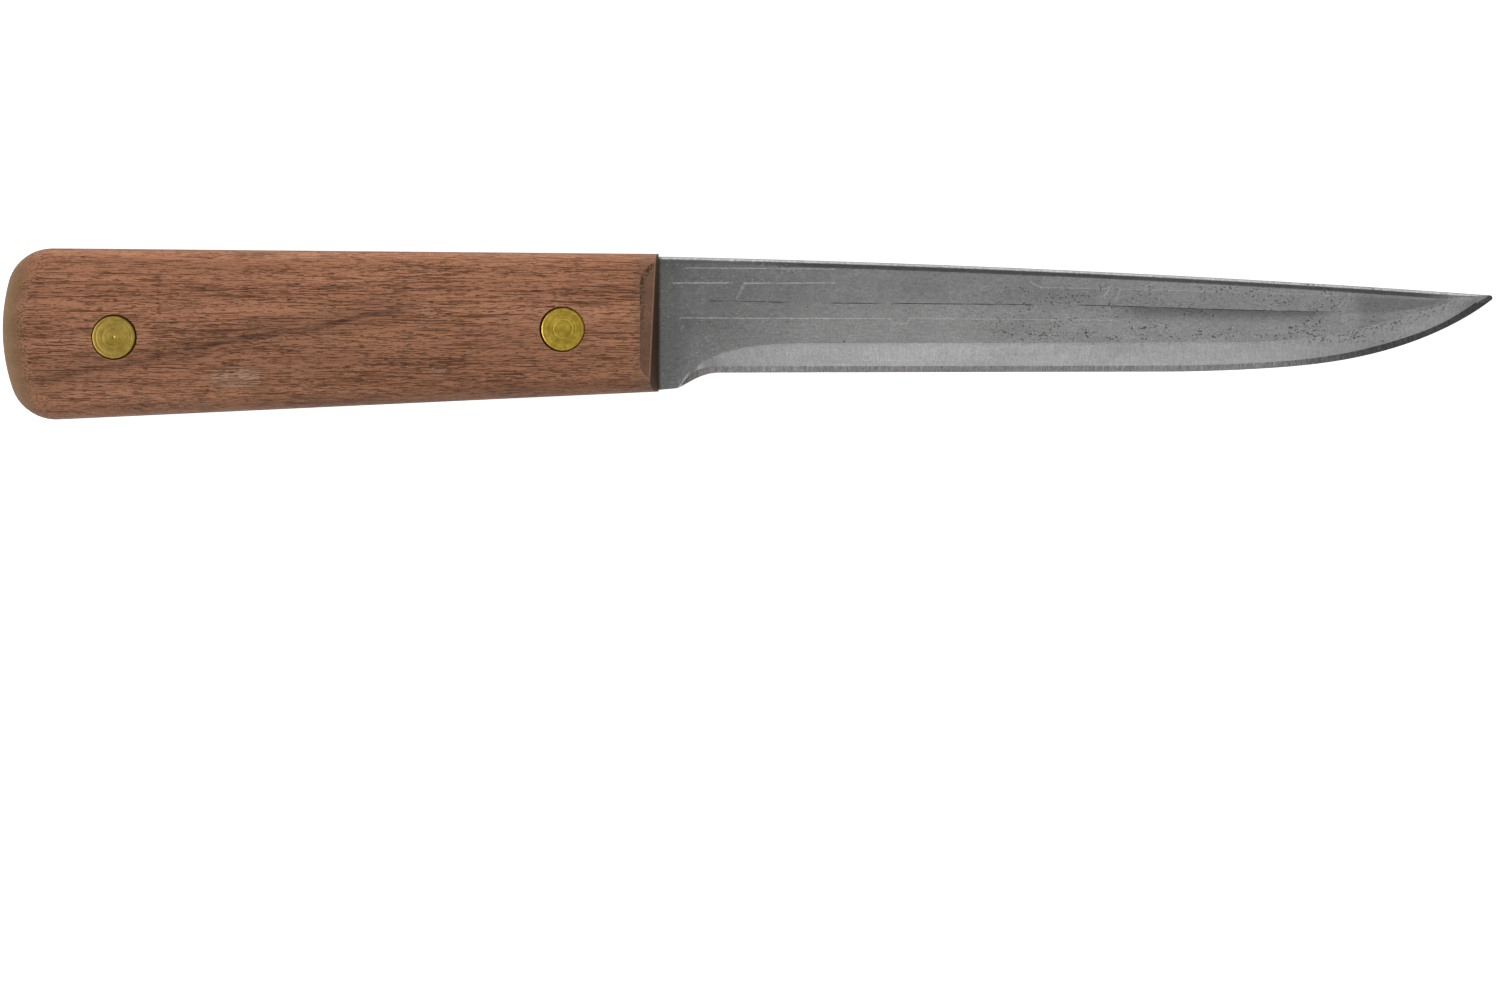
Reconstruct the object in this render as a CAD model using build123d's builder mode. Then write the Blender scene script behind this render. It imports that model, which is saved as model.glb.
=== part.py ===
"""Boning knife: a stamped steel blade with a full tang, two wooden handle scales, and two brass cutler's rivets.

Each rivet is two pieces, a solid pin half pressed into a tubular socket half. The knife lies on its left scale:
X runs from the butt to the tip, Y from the cutting edge to the spine, and Z is up, through the blade's thickness.
The origin is the bottom centre of the knife's bounding box. All sizes are in millimetres.

Points on a level plane are (u, v): u runs forward from the front of the handle, so it is negative in the handle,
and v runs towards the spine from the middle of the butt."""

import os
from dataclasses import dataclass
from math import cos, radians, sin, sqrt, tan

from build123d import *

# Blade and tang
blade_length = 152.4  # front of the handle to the tip, a nominal six inches
stock = 2.0  # thickness of the sheet, left as rolled in the tang
flat_relief = 0.03  # ground off each side of the blade, so its flats lie just below the tang's
spine_at_front = 14.1
spine_at_tip = 7.0
spine_bulge = 0.98  # the spine's arch over a straight line from the front to the tip
ricasso_bottom = -10.3
heel_corner = (3.6, -9.95)  # where all the grinds start
tip_overshoot = 0.82  # the sharp point that the edge and spine would meet at, ahead of the rounded tip

# Handle
handle_length = 119.7
top_at_front = 14.55
bottom_at_front = -10.6
top_slope = 0.53  # degrees that the top line rises towards the butt
bottom_slope = 2.66  # degrees that the bottom line falls towards the butt
butt_radius = 34.0
butt_center_v = 0.8
butt_corner_radius = 8.2
scale_thickness = 7.5
scale_round = 5.0  # round-over along the top, the bottom and the butt
tang_proud = 0.1  # how far the wood is sanded below the tang's edge all round
tang_corner_radius = 0.35  # rounding of the tang's step down to the blade

# Front end of a scale: a steep end face that leans back from the blade, then a shallow bevel up to the flat
bevel_run = 3.33  # from the front back to the start of the bevel
bevel_slope = 0.5  # how far the bevel falls for each millimetre of its run
end_lean = 1.16  # how far the end face has leaned back where the bevel takes over, at v = 0
end_twist = 0.047  # the lean gained per millimetre towards the cutting edge
front_waste = 6.0  # wood past the front of the handle, all taken away by the cut that makes both faces
cut_overrun = 2.0  # how far the cut's outline passes the wood

# Rivets
rear_hole = (-98.9, -0.8)
front_hole = (-17.45, 0.65)
rivet_float = 0.12  # how far each rivet sits off the middle of its hole, away from the other rivet
head_diameter = 8.0
head_thickness = 1.4
head_chamfer = 0.25
head_recess_diameter = 8.3  # in the wood round each head
head_below_wood = 0.1  # how far the heads lie below the scales' flats
rivet_hole_diameter = 5.1  # through the tang and both scales
socket_diameter = 4.8
socket_length = 11.0
socket_floor = 0.5  # solid brass between the end of the bore and the head
pin_diameter = 3.5
pin_length = 11.5
center_mark_diameter = 0.9  # the turning mark in the middle of each pin's head
center_mark_depth = 0.15

overall_length = handle_length + blade_length
front_x = handle_length - overall_length / 2
middle_z = scale_thickness + stock / 2
half_thickness = stock / 2 + scale_thickness
head_top = half_thickness - head_below_wood  # heights above the blade's middle
head_seat = head_top - head_thickness
clear_of_handle = 20.0  # a distance from v = 0 that is outside the handle on either side


def level(height):
    """The level plane that far above the blade's middle, with its origin at the front of the handle."""
    return Plane(origin=(front_x, 0, middle_z + height))


def upright(v):
    """The upright plane along the knife at that v, with X forward, Y up and its origin on the blade's middle."""
    return Plane(origin=(front_x, v, middle_z), x_dir=(1, 0, 0), z_dir=(0, -1, 0))


def spine_v(u):
    chord = spine_at_front + (spine_at_tip - spine_at_front) * u / blade_length
    return chord + 4 * spine_bulge * u * (blade_length - u) / blade_length**2


def heading(degrees):
    return (cos(radians(degrees)), sin(radians(degrees)))


# ---------------------------------------------------------------- outlines


@dataclass
class Grind:
    """One line that the grinding leaves along the blade, from the heel corner to the tip."""

    height: float  # above the blade's middle
    spine_inset: float  # how far the spine is rounded in at this height
    heel_angle: float  # degrees above +u at which the line leaves the heel corner
    heel: list  # points between the heel corner and the straight run
    run_start: tuple
    run_end: tuple
    belly: list  # points between the straight run and the tip
    tip_u: float
    tip_angle: float  # degrees above +u at which the line meets the spine
    tip_radius: float


cutting_edge = Grind(
    height=0,
    spine_inset=0,
    heel_angle=28,
    heel=[(7.55, -7.85)],
    run_start=(11.0, -7.13),
    run_end=(91.6, -6.96),
    belly=[(109.9, -6.4), (124.5, -4.9), (135.5, -2.25), (144.6, 1.45)],
    tip_u=blade_length + tip_overshoot,
    tip_angle=39,
    tip_radius=0.5,
)
edge_bevel_top = Grind(
    height=0.35,
    spine_inset=0.03,
    heel_angle=50,
    heel=[(6.4, -7.0)],
    run_start=(11.2, -5.95),
    run_end=(91.6, -5.82),
    belly=[(109.7, -5.3), (124.1, -3.8), (134.8, -1.2), (143.4, 2.1)],
    tip_u=151.2,
    tip_angle=36,
    tip_radius=0.5,
)
main_bevel_top = Grind(
    height=0.80,
    spine_inset=0.16,
    heel_angle=62,
    heel=[(5.4, -7.2), (9.9, -4.15), (16.0, -2.5)],
    run_start=(34.0, -1.75),
    run_end=(102.0, -1.6),
    belly=[(120.6, -0.6), (134.0, 2.35)],
    tip_u=148.6,
    tip_angle=18,
    tip_radius=0.3,
)
ridge = Grind(
    height=stock / 2 - flat_relief,
    spine_inset=0.85,
    heel_angle=80,
    heel=[(4.9, -4.0), (9.5, 3.9)],
    run_start=(20.0, 5.7),
    run_end=(71.5, 5.3),
    belly=[(104.0, 4.4), (124.0, 4.0)],
    tip_u=145.0,
    tip_angle=25,
    tip_radius=0.3,
)


def draw_blade(grind):
    """The blade's outline at one height, with its lower side on the given line."""
    front = (0, spine_at_front - grind.spine_inset)
    middle = (grind.tip_u / 2, spine_v(grind.tip_u / 2) - grind.spine_inset)
    tip = (grind.tip_u, spine_v(grind.tip_u) - grind.spine_inset)
    back_along_run = (grind.run_start[0] - grind.run_end[0], grind.run_start[1] - grind.run_end[1])
    ThreePointArc(front, middle, tip)
    belly_ends = [heading(grind.tip_angle + 180), back_along_run]
    Spline(tip, *reversed(grind.belly), grind.run_end, tangents=belly_ends)
    Line(grind.run_end, grind.run_start)
    heel_ends = [back_along_run, heading(grind.heel_angle + 180)]
    Spline(grind.run_start, *reversed(grind.heel), heel_corner, tangents=heel_ends)
    Polyline(heel_corner, (0, ricasso_bottom), front)


def draw_handle(inset, front_u):
    """The handle's outline, moved in by inset, up to an upright front line at front_u."""
    arc_radius = butt_radius - inset
    arc_center_u = butt_radius - handle_length
    top_line = (top_at_front - inset, -tan(radians(top_slope)))
    bottom_line = (bottom_at_front + inset, tan(radians(bottom_slope)))
    corners = []
    for at_front, slope in (top_line, bottom_line):
        # The line v = at_front + slope * u crosses the butt's arc behind the arc's centre
        rise = at_front + slope * arc_center_u - butt_center_v
        spread = 1 + slope**2
        back = (slope * rise + sqrt(spread * arc_radius**2 - rise**2)) / spread
        corners.append((arc_center_u - back, at_front + slope * (arc_center_u - back)))
    top_corner, bottom_corner = corners
    top_front = (front_u, top_line[0] + top_line[1] * front_u)
    bottom_front = (front_u, bottom_line[0] + bottom_line[1] * front_u)
    Line(top_front, top_corner)
    ThreePointArc(top_corner, (arc_center_u - arc_radius, butt_center_v), bottom_corner)
    Polyline(bottom_corner, bottom_front, top_front)


# ---------------------------------------------------------------- blade

with BuildPart() as blade:
    for grind in (cutting_edge, edge_bevel_top, main_bevel_top, ridge):
        with BuildSketch(level(grind.height)) as outline:
            with BuildLine():
                draw_blade(grind)
            make_face()
            fillet(outline.vertices().sort_by(Axis.X)[-1], grind.tip_radius)
    loft(ruled=True)
    mirror(about=level(0))
    with BuildSketch(level(-stock / 2)) as tang:
        with BuildLine():
            draw_handle(0, 0)
        make_face()
        fillet(tang.vertices().group_by(Axis.X)[-1], tang_corner_radius)
        fillet(tang.vertices().sort_by(Axis.X)[:2], butt_corner_radius)
        with Locations(rear_hole, front_hole):
            Circle(rivet_hole_diameter / 2, mode=Mode.SUBTRACT)
    extrude(amount=stock)

pieces = {"blade": blade.part}

# ---------------------------------------------------------------- scales

for name, side in (("right_scale", 1), ("left_scale", -1)):
    with BuildPart() as scale:
        with BuildSketch(level(side * stock / 2)) as outline:
            with BuildLine():
                draw_handle(tang_proud, front_waste)
            make_face()
            fillet(outline.vertices().sort_by(Axis.X)[:2], butt_corner_radius - tang_proud)
        extrude(amount=side * scale_thickness)
        outer_edges = scale.faces().sort_by(Axis((0, 0, 0), (0, 0, side)))[-1].edges()
        fillet(outer_edges.sort_by(Axis.X)[:-1], scale_round)
        for v in (-clear_of_handle, clear_of_handle):
            lean = end_lean - end_twist * v
            bevel_end = half_thickness - bevel_slope * (bevel_run - lean)
            above_wood = half_thickness + bevel_slope * cut_overrun
            past_wood = front_waste + cut_overrun
            with BuildSketch(upright(v)):
                with BuildLine():
                    Polyline(
                        (0, 0),
                        (0, side * stock / 2),
                        (-lean, side * bevel_end),
                        (-bevel_run - cut_overrun, side * above_wood),
                        (past_wood, side * above_wood),
                        (past_wood, 0),
                        close=True,
                    )
                make_face()
        loft(ruled=True, mode=Mode.SUBTRACT)
        with BuildSketch(level(side * stock / 2)):
            with Locations(rear_hole, front_hole):
                Circle(rivet_hole_diameter / 2)
        extrude(amount=side * scale_thickness, mode=Mode.SUBTRACT)
        with BuildSketch(level(side * head_seat)):
            with Locations(rear_hole, front_hole):
                Circle(head_recess_diameter / 2)
        extrude(amount=side * scale_thickness, mode=Mode.SUBTRACT)
    pieces[name] = scale.part

# ---------------------------------------------------------------- rivets

for name, hole, drift in (("rear_rivet", rear_hole, -rivet_float), ("front_rivet", front_hole, rivet_float)):
    center = (hole[0] + drift, hole[1])

    with BuildPart() as pin:
        with BuildSketch(level(head_seat)):
            with Locations(center):
                Circle(head_diameter / 2)
        extrude(amount=head_thickness)
        chamfer(pin.edges().sort_by(Axis.Z)[-1], head_chamfer)
        with BuildSketch(level(head_seat)):
            with Locations(center):
                Circle(pin_diameter / 2)
        extrude(amount=-pin_length)
        with BuildSketch(level(head_top)):
            with Locations(center):
                Circle(center_mark_diameter / 2)
        extrude(amount=-center_mark_depth, mode=Mode.SUBTRACT)

    with BuildPart() as socket:
        with BuildSketch(level(-head_seat)):
            with Locations(center):
                Circle(head_diameter / 2)
        extrude(amount=-head_thickness)
        chamfer(socket.edges().sort_by(Axis.Z)[0], head_chamfer)
        with BuildSketch(level(-head_seat)):
            with Locations(center):
                Circle(socket_diameter / 2)
        extrude(amount=socket_length)
        with BuildSketch(level(-head_seat + socket_floor)):
            with Locations(center):
                Circle(pin_diameter / 2)
        extrude(amount=socket_length, mode=Mode.SUBTRACT)

    pieces[name + "_pin"] = pin.part
    pieces[name + "_socket"] = socket.part

# ---------------------------------------------------------------- files

os.makedirs("parts", exist_ok=True)
for name, piece in pieces.items():
    piece.label = name
    export_step(piece, "parts/" + name + ".step")
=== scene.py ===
"""Looks of a boning knife: satin steel blade, open-pored wooden scales and brass rivets, lying on white.

Lengths in the constants are millimetres, as on a drawing; everything handed to Blender is in metres.
Points on the blade are (u, v): u runs forward from the front of the handle, and v runs from the edge side
to the spine side."""

import math

import bmesh
import bpy
import numpy as np
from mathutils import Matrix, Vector


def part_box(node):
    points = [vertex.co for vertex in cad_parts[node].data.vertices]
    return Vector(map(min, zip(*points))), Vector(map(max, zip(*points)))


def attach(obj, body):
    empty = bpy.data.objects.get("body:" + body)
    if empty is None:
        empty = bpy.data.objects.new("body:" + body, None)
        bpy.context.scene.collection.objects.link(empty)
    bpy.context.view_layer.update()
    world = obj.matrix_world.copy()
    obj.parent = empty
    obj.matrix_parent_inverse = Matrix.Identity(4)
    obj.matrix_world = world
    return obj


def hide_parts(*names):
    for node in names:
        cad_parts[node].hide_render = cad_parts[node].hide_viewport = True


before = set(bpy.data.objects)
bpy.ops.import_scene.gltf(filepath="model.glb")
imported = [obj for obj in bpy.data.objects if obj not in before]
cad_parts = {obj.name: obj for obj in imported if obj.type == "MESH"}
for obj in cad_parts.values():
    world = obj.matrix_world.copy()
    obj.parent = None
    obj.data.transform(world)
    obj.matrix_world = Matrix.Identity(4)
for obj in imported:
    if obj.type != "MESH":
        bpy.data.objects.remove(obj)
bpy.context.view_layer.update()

MM = 0.001
_, SCALE_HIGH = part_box("right_scale")
BLADE_LOW, BLADE_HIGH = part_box("blade")
FRONT_X = SCALE_HIGH.x / MM
MIDDLE_Z = (BLADE_LOW.z + BLADE_HIGH.z) / 2 / MM
TIP_U = BLADE_HIGH.x / MM - FRONT_X
HANDLE_LENGTH = FRONT_X - BLADE_LOW.x / MM

# ---------------------------------------------------------------- blade shape

BLADE_LENGTH = 152.4
SPINE_AT_FRONT = 14.1
SPINE_DROP = 7.1  # from the front to the tip
SPINE_ARCH = 0.98  # most that the spine stands over a straight line from the front to the tip
FLAT_HALF = 0.97  # half the thickness over the ground flats
HEEL_CORNER = (3.6, -9.95)
RICASSO_BOTTOM = -10.3
SPINE_ROUND = 1.3  # width of the spine's rounding, seen square to the blade
SPINE_PROFILE = [  # part of that width gone towards the spine, and the part of the thickness left there
    (0.0, 1.0), (0.12, 0.995), (0.25, 0.975), (0.37, 0.93), (0.48, 0.86), (0.58, 0.765), (0.68, 0.645),
    (0.78, 0.50), (0.87, 0.36), (0.94, 0.235), (0.985, 0.12), (1.0, 0.0),
]
TIP_RADIUS = 0.5
TIP_HALF = 0.7  # most that half the thickness can be where the tip starts to round
SHARP_TIP_U = TIP_U + 0.82  # where the edge and the spine would meet, ahead of the rounded tip
EDGE_TIP_ANGLE = 39  # degrees above +u at which the edge would get there
THINNED_FROM = 60.0  # u past which the grinds can reach the spine's rounding
RIPPLE_DEPTH = 0.006
RIPPLE_WAVES, SHORTEST_WAVE, LONGEST_WAVE = 14, 7.0, 40.0
RIGHT_RIPPLE, LEFT_RIPPLE = 5, 8  # seeds
SMALLEST = 1e-6


def spine_v(u):
    chord = SPINE_AT_FRONT - SPINE_DROP * u / BLADE_LENGTH
    return chord + 4 * SPINE_ARCH * u * (BLADE_LENGTH - u) / BLADE_LENGTH**2


def at_spine(u, below=0.0):
    return (u, spine_v(u) - below)


def heading(degrees):
    return np.array([math.cos(math.radians(degrees)), math.sin(math.radians(degrees))])


def smooth_curve(points, start_way, end_way, per_span=24):
    """Points along the cubic through the given points that leaves and arrives in the given directions."""
    p = np.array(points, float)
    t = np.r_[0, np.cumsum(np.hypot(*np.diff(p, axis=0).T))]
    n = len(p)
    a = np.zeros((n, n))
    rhs = np.zeros((n, 2))
    a[0, 0] = a[-1, -1] = 1
    rhs[0] = np.array(start_way) / np.hypot(*start_way)
    rhs[-1] = np.array(end_way) / np.hypot(*end_way)
    for i in range(1, n - 1):
        before, after = t[i] - t[i - 1], t[i + 1] - t[i]
        a[i, i - 1 : i + 2] = after, 2 * (before + after), before
        rhs[i] = 3 * (after * (p[i] - p[i - 1]) / before + before * (p[i + 1] - p[i]) / after)
    slopes = np.linalg.solve(a, rhs)
    out = []
    for i in range(n - 1):
        h = t[i + 1] - t[i]
        s = np.linspace(0, 1, per_span, endpoint=False)[:, None]
        out.append(
            (1 + 2 * s) * (1 - s) ** 2 * p[i]
            + s * (1 - s) ** 2 * h * slopes[i]
            + s**2 * (3 - 2 * s) * p[i + 1]
            + s**2 * (s - 1) * h * slopes[i + 1]
        )
    out.append(p[-1:])
    return np.concatenate(out)


def grind_line(heel_angle, heel, run_start, run_end, belly, tip, tip_angle):
    """A grind line from the heel corner to the tip, as arrays of u and v."""
    along = np.subtract(run_end, run_start)
    first = smooth_curve([HEEL_CORNER, *heel, run_start], heading(heel_angle), along)
    last = smooth_curve([run_end, *belly, tip], along, heading(tip_angle))
    ricasso = np.array([[-5.0, RICASSO_BOTTOM], [0.0, RICASSO_BOTTOM]])
    line = np.concatenate([ricasso, first, last])
    return line[:, 0], line[:, 1]


CUTTING_EDGE = grind_line(
    heel_angle=28,
    heel=[(7.55, -7.85)],
    run_start=(11.0, -7.13),
    run_end=(91.6, -6.96),
    belly=[(109.9, -6.4), (124.5, -4.9), (135.5, -2.25), (144.6, 1.45)],
    tip=at_spine(SHARP_TIP_U),
    tip_angle=EDGE_TIP_ANGLE,
)
EDGE_BEVEL_TOP = grind_line(
    heel_angle=50,
    heel=[(6.4, -7.0)],
    run_start=(11.2, -5.95),
    run_end=(91.6, -5.82),
    belly=[(109.7, -5.3), (124.1, -3.8), (134.8, -1.2), (143.4, 2.1)],
    tip=at_spine(151.2),
    tip_angle=36,
)
MAIN_BEVEL_TOP = grind_line(
    heel_angle=62,
    heel=[(5.4, -7.2), (9.9, -4.15), (16.0, -2.5)],
    run_start=(34.0, -1.75),
    run_end=(102.0, -1.6),
    belly=[(120.6, -0.6), (134.0, 2.35)],
    tip=at_spine(148.6, below=0.2),
    tip_angle=18,
)
RIDGE = grind_line(
    heel_angle=80,
    heel=[(4.9, -4.0), (9.5, 3.9)],
    run_start=(20.0, 5.7),
    run_end=(71.5, 5.3),
    belly=[(104.0, 4.4), (124.0, 4.0)],
    tip=at_spine(145.0, below=0.9),
    tip_angle=25,
)
LINES = [CUTTING_EDGE, EDGE_BEVEL_TOP, MAIN_BEVEL_TOP, RIDGE]
LINE_HEIGHTS = [0.0, 0.35, 0.80, FLAT_HALF]  # of the right face on each line, above the blade's middle
SPACES = [4, 10, 14, 16]  # across the edge bevel, main bevel, lower flat and upper flat


def line_v(line, u):
    """v of a grind line at u, carried straight on past the line's end."""
    us, vs = line
    past = max(u - us[-1], 0.0)
    return float(np.interp(u, us, vs)) + past * (vs[-1] - vs[-2]) / (us[-1] - us[-2])


def ripple(u, v, seed):
    """Gentle unevenness left by hand grinding, about 1 at its largest, the same on every run."""
    rng = np.random.default_rng(seed)
    total = np.zeros(np.broadcast(u, v).shape)
    for _ in range(RIPPLE_WAVES):
        length = rng.uniform(SHORTEST_WAVE, LONGEST_WAVE)
        way = rng.normal(0, 0.5) + math.pi / 2 * rng.integers(0, 2)
        phase = rng.uniform(0, 2 * math.pi)
        total += np.sin(2 * math.pi * (u * math.cos(way) + v * math.sin(way)) / length + phase)
    return total / 6


def find_tip_center():
    """Centre of the arc that rounds the point where the edge and the spine would meet."""
    spine_rise = spine_v(153.0) - spine_v(152.0)
    spine_way = heading(math.degrees(math.atan2(spine_rise, 1.0)))
    belly_way = heading(EDGE_TIP_ANGLE)
    half_angle = math.acos(float(belly_way @ spine_way)) / 2
    bisector = (belly_way + spine_way) / np.linalg.norm(belly_way + spine_way)
    return np.array(at_spine(SHARP_TIP_U)) - bisector * TIP_RADIUS / math.sin(half_angle)


def blade_section(u, tip_center):
    """The section at u from edge to spine, as arrays of v, half thickness on the right and left, and band."""
    breaks = [line_v(line, u) for line in LINES]
    low, high = breaks[0], float(spine_v(max(u, 0.0)))
    in_tip = u > tip_center[0]
    if in_tip:
        reach = math.sqrt(max(TIP_RADIUS**2 - (u - tip_center[0]) ** 2, 0.0))
        low = max(low, tip_center[1] - reach)
        high = max(min(high, tip_center[1] + reach), low)
    round_start = max(high - SPINE_ROUND, low + 0.3 * (high - low))
    corners = [min(max(b, low), round_start) for b in breaks] + [round_start]
    levels = LINE_HEIGHTS + [FLAT_HALF]
    points = []
    for i, count in enumerate(SPACES):
        for s in np.linspace(0, 1, count, endpoint=False):
            v = corners[i] + s * (corners[i + 1] - corners[i])
            half = levels[i] + s * (levels[i + 1] - levels[i])
            points.append((v, half, i + s))
    for gone, left in SPINE_PROFILE:
        points.append((round_start + gone * (high - round_start), FLAT_HALF * left, len(SPACES) + gone))
    vs, halves, bands = np.array(points).T
    if u > THINNED_FROM:
        rising = np.maximum.accumulate(breaks) + np.arange(len(breaks)) * SMALLEST
        under = np.interp(vs, np.r_[rising[0] - 1, rising], np.r_[0, LINE_HEIGHTS])
        if in_tip:
            tip_half = TIP_HALF * reach / TIP_RADIUS
            under = np.minimum(under, tip_half * (vs - low) / max(high - low, SMALLEST))
        halves = np.minimum(halves, np.maximum(under, 0))
    fade = np.clip(halves / 0.6, 0, 1) * np.clip((4.9 - bands) * 2, 0, 1) * np.clip((u - 1) / 4, 0, 1)
    right = halves + RIPPLE_DEPTH * ripple(u, vs, RIGHT_RIPPLE) * fade
    left = halves + RIPPLE_DEPTH * ripple(u, vs, LEFT_RIPPLE) * fade
    return vs, right, left, bands


def blade_mesh():
    """The blade forward of the handle, as rings of points round it at stations along its length."""
    stations = np.r_[
        np.linspace(-0.6, 3.2, 12, endpoint=False),
        np.linspace(3.2, 12.0, 60, endpoint=False),
        np.linspace(12.0, 120.0, 260, endpoint=False),
        np.linspace(120.0, 150.0, 110, endpoint=False),
        TIP_U - (TIP_U - 150.0) * (1 - np.sin(np.linspace(0, math.pi / 2, 30))),
    ]
    tip_center = find_tip_center()
    rings = []
    ring_bands = []
    for u in stations:
        vs, right, left, bands = blade_section(u, tip_center)
        us = np.full_like(vs, u)
        upper = np.stack([us, vs, right], 1)
        lower = np.stack([us, vs, -left], 1)[-2:0:-1]
        rings.append(np.concatenate([upper, lower]))
        ring_bands.append(np.concatenate([bands, bands[-2:0:-1]]))
    return np.array(rings), np.array(ring_bands)


def to_world(points):
    """Millimetres on the blade's middle plane, as (u, v, height), to metres in the knife's frame."""
    return (np.asarray(points, float) + [FRONT_X, 0, MIDDLE_Z]) * MM


def new_object(name, vertices, faces):
    mesh = bpy.data.meshes.new(name)
    mesh.from_pydata([tuple(v) for v in vertices], [], [tuple(f) for f in faces])
    mesh.validate()
    obj = bpy.data.objects.new(name, mesh)
    bpy.context.scene.collection.objects.link(obj)
    return obj


def ring_faces(count, around):
    faces = []
    for i in range(count - 1):
        for j in range(around):
            k = (j + 1) % around
            faces.append((i * around + j, i * around + k, (i + 1) * around + k, (i + 1) * around + j))
    return faces


# ---------------------------------------------------------------- tang

TANG_HALF = 1.0
TOP_AT_FRONT, TOP_SLOPE = 14.55, -math.tan(math.radians(0.53))
BOTTOM_AT_FRONT, BOTTOM_SLOPE = -10.6, math.tan(math.radians(2.66))
BUTT_RADIUS, BUTT_V, CORNER_RADIUS = 34.0, 0.8, 8.2
REAR_HOLE, FRONT_HOLE = (-98.9, -0.8), (-17.45, 0.65)
HOLE_RADIUS = 2.55
LINE_STEP = 0.6
CORNER_POINTS, BUTT_POINTS, HOLE_POINTS = 26, 40, 48


def arc(center, radius, turn):
    return np.array(center) + radius * np.stack([np.cos(turn), np.sin(turn)], 1)


def handle_side(sign, at_front, slope, center):
    """The handle's top (sign 1) or bottom (-1): its line, its butt corner, and the angle where the butt's arc
    meets that corner."""
    length = math.hypot(slope, 1.0)
    normal = np.array([-slope, 1.0]) / length * sign
    backward = np.array([-1.0, -slope]) / length
    reach = at_front * normal[1] - CORNER_RADIUS - normal @ center
    past = math.sqrt((BUTT_RADIUS - CORNER_RADIUS) ** 2 - reach**2)
    corner = center + reach * normal + backward * past
    touch = corner + CORNER_RADIUS * normal
    front = np.array([0.0, at_front])
    steps = int(np.linalg.norm(touch - front) / LINE_STEP)
    line = front + np.linspace(0, 1, steps, endpoint=False)[:, None] * (touch - front)
    start, end = (math.atan2(y, x) % (2 * math.pi) for x, y in (normal, corner - center))
    return line, arc(corner, CORNER_RADIUS, np.linspace(start, end, CORNER_POINTS)), end


def handle_outline():
    """Points round the handle, from the top of its front round the butt to the bottom."""
    center = np.array([BUTT_RADIUS - HANDLE_LENGTH, BUTT_V])
    top_line, top_corner, top_end = handle_side(1, TOP_AT_FRONT, TOP_SLOPE, center)
    bottom_line, bottom_corner, bottom_end = handle_side(-1, BOTTOM_AT_FRONT, BOTTOM_SLOPE, center)
    butt = arc(center, BUTT_RADIUS, np.linspace(top_end, bottom_end, BUTT_POINTS)[1:-1])
    return np.concatenate([top_line, top_corner, butt, bottom_corner[::-1], bottom_line[::-1]])


def make_tang():
    bm = bmesh.new()

    def loop(points):
        verts = [bm.verts.new(to_world([x, y, -TANG_HALF])) for x, y in points]
        return [bm.edges.new((a, b)) for a, b in zip(verts, verts[1:] + verts[:1])]

    edges = loop(handle_outline())
    turn = np.linspace(0, 2 * math.pi, HOLE_POINTS, endpoint=False)
    for hole in (REAR_HOLE, FRONT_HOLE):
        edges += loop(arc(hole, HOLE_RADIUS, turn))
    bmesh.ops.triangle_fill(bm, edges=edges, use_beauty=True)
    grown = bmesh.ops.extrude_face_region(bm, geom=bm.faces[:])
    for v in (g for g in grown["geom"] if isinstance(g, bmesh.types.BMVert)):
        v.co.z += 2 * TANG_HALF * MM
    bmesh.ops.recalc_face_normals(bm, faces=bm.faces[:])
    mesh = bpy.data.meshes.new("tang")
    bm.to_mesh(mesh)
    bm.free()
    obj = bpy.data.objects.new("tang", mesh)
    bpy.context.scene.collection.objects.link(obj)
    return obj


# ---------------------------------------------------------------- blade

BLADE_CREASE, TANG_CREASE = 50, 20  # degrees between two faces above which the edge they share stays crisp
WELD_DISTANCE, SLIVER = 0.002 * MM, 0.001 * MM


def apply_modifiers(obj):
    graph = bpy.context.evaluated_depsgraph_get()
    graph.update()
    mesh = bpy.data.meshes.new_from_object(obj.evaluated_get(graph))
    obj.modifiers.clear()
    obj.data = mesh


def make_blade():
    """Blade and tang as one piece. Its band is 0 at the edge, 1 to 3 on the grind lines, 5 at the spine."""
    rings, bands = blade_mesh()
    around = rings.shape[1]
    faces = ring_faces(len(rings), around)
    faces.append(tuple(range(around)))
    obj = new_object("satin_blade", to_world(rings.reshape(-1, 3)), faces)
    band = obj.data.attributes.new("band", "FLOAT", "POINT")
    band.data.foreach_set("value", bands.reshape(-1).astype(np.float32))
    bm = bmesh.new()
    bm.from_mesh(obj.data)
    bmesh.ops.remove_doubles(bm, verts=bm.verts[:], dist=WELD_DISTANCE)
    bmesh.ops.dissolve_degenerate(bm, edges=bm.edges[:], dist=SLIVER)
    bmesh.ops.recalc_face_normals(bm, faces=bm.faces[:])
    bm.to_mesh(obj.data)
    bm.free()
    tang = make_tang()
    union = obj.modifiers.new("union", "BOOLEAN")
    union.operation = "UNION"
    union.solver = "EXACT"
    union.object = tang
    apply_modifiers(obj)
    bpy.data.objects.remove(tang)
    mark_grinds(obj.data)
    return obj


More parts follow.
